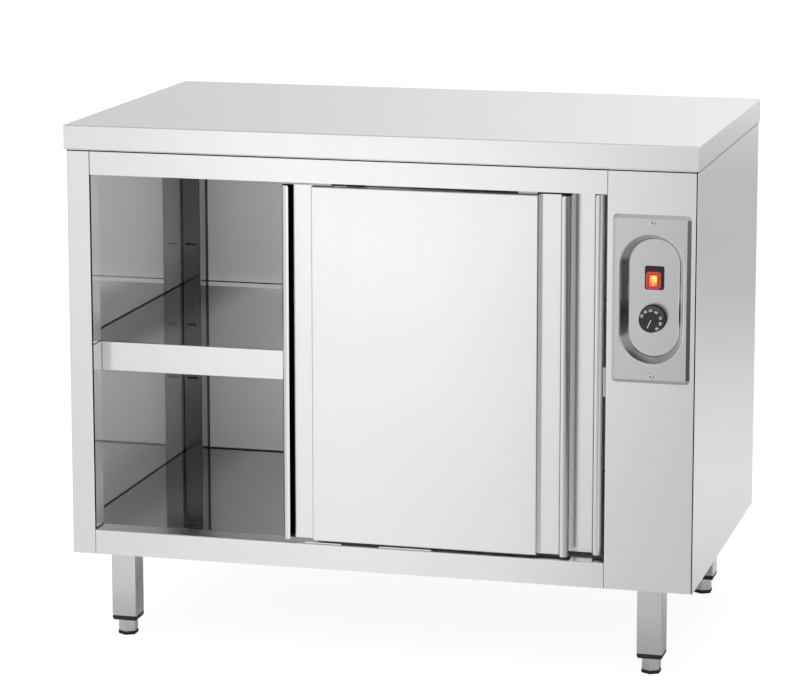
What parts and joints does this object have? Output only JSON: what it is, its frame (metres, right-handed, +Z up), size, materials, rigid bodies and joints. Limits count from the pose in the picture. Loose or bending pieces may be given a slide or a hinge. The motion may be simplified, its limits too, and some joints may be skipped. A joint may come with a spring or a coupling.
{
  "type": "plate warmer cabinet",
  "caption": "Heated stainless-steel plate cabinet with sliding doors, a pierced shelf, a dished control column and square legs.",
  "frame": {"origin": "on the floor under the centre of the worktop", "axes": "+X to the right seen from the front, +Y to the back, +Z up; the doors and the controls face -Y"},
  "size_m": [1, 0.6, 0.83],
  "materials": {
    "stainless": "satin",
    "board": "matte",
    "galvanised": "satin",
    "bright_steel": "polished",
    "track_aluminium": "satin",
    "stop_rubber": "matte",
    "black_plastic": "matte",
    "gloss_black": "gloss",
    "red_lens": "gloss",
    "white_plastic": "matte",
    "roller_nylon": "satin",
    "motor_paint": "satin",
    "heater_sheath": "matte"
  },
  "bodies": {
    "cabinet": {"worktop": "stainless", "worktop_core": "board", "left_side_panel": "stainless", "right_side_panel": "stainless", "back_panel": "stainless", "base_panel": "galvanised", "top_rail": "stainless", "bottom_rail": "stainless", "cabinet_floor": "stainless", "inner_ceiling": "stainless", "partition": "stainless", "rear_left_post": "stainless", "rear_right_post": "stainless", "left_shelf_rail": "stainless", "right_shelf_rail": "stainless", "upper_track": "track_aluminium", "track_stops": "stop_rubber", "guide_strip": "galvanised", "guide_block": "black_plastic", "control_plate": "stainless", "plate_screws": "bright_steel", "switch_bezel": "gloss_black", "thermostat_body": "white_plastic", "fan_housing": "galvanised", "fan_motor": "motor_paint", "heating_element": "heater_sheath", "terminal_block": "white_plastic", "cable_gland": "black_plastic", "gland_nut": "black_plastic", "leg_caps": "black_plastic", "leg_plates": "galvanised", "leg_bolts": "bright_steel", "front_left_leg": "stainless", "front_right_leg": "stainless", "rear_left_leg": "stainless", "rear_right_leg": "stainless"},
    "shelf_tray": {"shelf": "stainless"},
    "front_door": {"front_door_frame": "stainless", "front_door_panel": "stainless", "front_door_hangers": "bright_steel"},
    "rear_door": {"rear_door_frame": "stainless", "rear_door_panel": "stainless", "rear_door_hangers": "bright_steel"},
    "thermostat_knob": {"knob": "gloss_black", "thermostat_shaft": "bright_steel"},
    "rocker": {"switch_rocker": "red_lens"},
    "fan": {"fan_wheel": "galvanised"},
    "front_door_left_wheel": {"front_door_left_roller": "roller_nylon"},
    "front_door_right_wheel": {"front_door_right_roller": "roller_nylon"},
    "rear_door_left_wheel": {"rear_door_left_roller": "roller_nylon"},
    "rear_door_right_wheel": {"rear_door_right_roller": "roller_nylon"},
    "front_left_levelling_foot": {"front_left_foot": "bright_steel", "front_left_foot_pad": "black_plastic"},
    "front_right_levelling_foot": {"front_right_foot": "bright_steel", "front_right_foot_pad": "black_plastic"},
    "rear_left_levelling_foot": {"rear_left_foot": "bright_steel", "rear_left_foot_pad": "black_plastic"},
    "rear_right_levelling_foot": {"rear_right_foot": "bright_steel", "rear_right_foot_pad": "black_plastic"}
  },
  "joints": [
    {"name": "shelf_lift", "type": "slide", "parent": "cabinet", "child": "shelf_tray", "axis": [0, 0, 1], "range_m": [0, 0.118]},
    {"name": "front_door_slide", "type": "slide", "parent": "cabinet", "child": "front_door", "axis": [1, 0, 0], "range_m": [-0.301, 0.047]},
    {"name": "front_door_left_roll", "type": "hinge", "parent": "front_door", "child": "front_door_left_wheel", "pos_m": [-0.084, -0.2845, 0.776], "axis": [0, 1, 0], "continuous": true},
    {"name": "front_door_right_roll", "type": "hinge", "parent": "front_door", "child": "front_door_right_wheel", "pos_m": [0.239, -0.2845, 0.776], "axis": [0, 1, 0], "continuous": true},
    {"name": "rear_door_slide", "type": "slide", "parent": "cabinet", "child": "rear_door", "axis": [1, 0, 0], "range_m": [-0.348, 0]},
    {"name": "rear_door_left_roll", "type": "hinge", "parent": "rear_door", "child": "rear_door_left_wheel", "pos_m": [-0.037, -0.2605, 0.776], "axis": [0, 1, 0], "continuous": true},
    {"name": "rear_door_right_roll", "type": "hinge", "parent": "rear_door", "child": "rear_door_right_wheel", "pos_m": [0.286, -0.2605, 0.776], "axis": [0, 1, 0], "continuous": true},
    {"name": "knob_turn", "type": "hinge", "parent": "cabinet", "child": "thermostat_knob", "pos_m": [0.4299, -0.2862, 0.564], "axis": [0, 1, 0], "range_deg": [0, 297]},
    {"name": "switch_rock", "type": "hinge", "parent": "cabinet", "child": "rocker", "pos_m": [0.4311, -0.275, 0.6255], "axis": [1, 0, 0], "range_deg": [-20, 0]},
    {"name": "fan_spin", "type": "hinge", "parent": "cabinet", "child": "fan", "pos_m": [0.4222, 0.03, 0.33], "axis": [1, 0, 0], "continuous": true},
    {"name": "front_left_foot_level", "type": "slide", "parent": "cabinet", "child": "front_left_levelling_foot", "axis": [0, 0, -1], "range_m": [0, 0.025]},
    {"name": "front_right_foot_level", "type": "slide", "parent": "cabinet", "child": "front_right_levelling_foot", "axis": [0, 0, -1], "range_m": [0, 0.025]},
    {"name": "rear_left_foot_level", "type": "slide", "parent": "cabinet", "child": "rear_left_levelling_foot", "axis": [0, 0, -1], "range_m": [0, 0.025]},
    {"name": "rear_right_foot_level", "type": "slide", "parent": "cabinet", "child": "rear_right_levelling_foot", "axis": [0, 0, -1], "range_m": [0, 0.025]}
  ],
  "couplings": [
    {"joint": "front_door_left_roll", "follows": "front_door_slide", "rad_per_m": 117.65},
    {"joint": "front_door_right_roll", "follows": "front_door_slide", "rad_per_m": 117.65},
    {"joint": "rear_door_left_roll", "follows": "rear_door_slide", "rad_per_m": 117.65},
    {"joint": "rear_door_right_roll", "follows": "rear_door_slide", "rad_per_m": 117.65}
  ]
}
